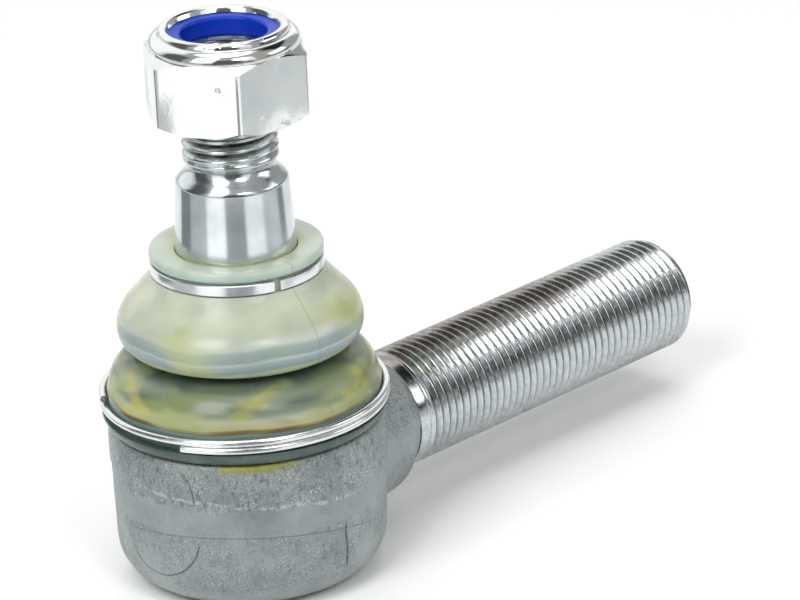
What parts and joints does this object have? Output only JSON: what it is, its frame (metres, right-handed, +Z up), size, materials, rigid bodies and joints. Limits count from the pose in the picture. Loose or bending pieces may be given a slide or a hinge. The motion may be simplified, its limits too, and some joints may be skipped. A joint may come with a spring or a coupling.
{
  "type": "tie rod end",
  "caption": "Ball-jointed tie rod end: tapered ball stud with self-locking nut in a booted forged socket with a male threaded shank.",
  "frame": {"origin": "centre of the socket's base rim, on the stud's axis", "axes": "+Z up along the stud towards the nut, +X along the shank towards its threaded end"},
  "size_m": [0.1117, 0.0424, 0.0837],
  "materials": {
    "forged_steel": "shot-blasted drop forging with a rolled thread",
    "turned_steel": "ground taper and rolled thread",
    "seat_plastic": "moulded acetal",
    "pressed_steel": "pressed plate",
    "spring_steel": "oiled spring steel",
    "seal_rubber": "moulded rubber",
    "boot_urethane": "translucent moulded urethane",
    "ring_zinc": "bright zinc-plated spring wire",
    "nut_zinc": "clear bright zinc plating",
    "blue_nylon": "moulded nylon"
  },
  "bodies": {
    "housing": {"forged_housing": "forged_steel", "upper_ball_seat": "seat_plastic", "lower_ball_seat": "seat_plastic", "pressure_plate": "pressed_steel", "disc_spring": "spring_steel", "cover_seal": "seal_rubber", "closing_cover": "pressed_steel", "lower_boot_ring": "ring_zinc"},
    "boot_fold": {"dust_boot": "boot_urethane"},
    "boot_top": {"upper_boot_ring": "ring_zinc"},
    "stud": {"ball_stud": "turned_steel"},
    "nut_carriage": {"nut_locking_insert": "blue_nylon"},
    "nut": {"lock_nut": "nut_zinc"}
  },
  "joints": [
    {"name": "stud_tilt_x", "type": "hinge", "parent": "housing", "child": "boot_fold", "pos_m": [0, 0, 0.0201], "axis": [1, 0, 0], "range_deg": [-16, 16], "deforming": ["dust_boot"]},
    {"name": "stud_tilt_y", "type": "hinge", "parent": "boot_fold", "child": "boot_top", "pos_m": [0, 0, 0.0201], "axis": [0, 1, 0], "range_deg": [-16, 16], "deforming": ["dust_boot"]},
    {"name": "stud_spin", "type": "hinge", "parent": "boot_top", "child": "stud", "pos_m": [0, 0, 0.0201], "axis": [0, 0, 1], "continuous": true},
    {"name": "nut_travel", "type": "slide", "parent": "stud", "child": "nut_carriage", "axis": [0, 0, 1], "range_m": [-0.0045, 0.00825], "deforming": ["nut_locking_insert"]},
    {"name": "nut_turn", "type": "hinge", "parent": "nut_carriage", "child": "nut", "pos_m": [0, 0, 0.0703], "axis": [0, 0, 1], "range_deg": [-1081, 1981]}
  ],
  "couplings": [
    {"joint": "nut_turn", "follows": "nut_travel", "rad_per_m": 4188.8}
  ]
}
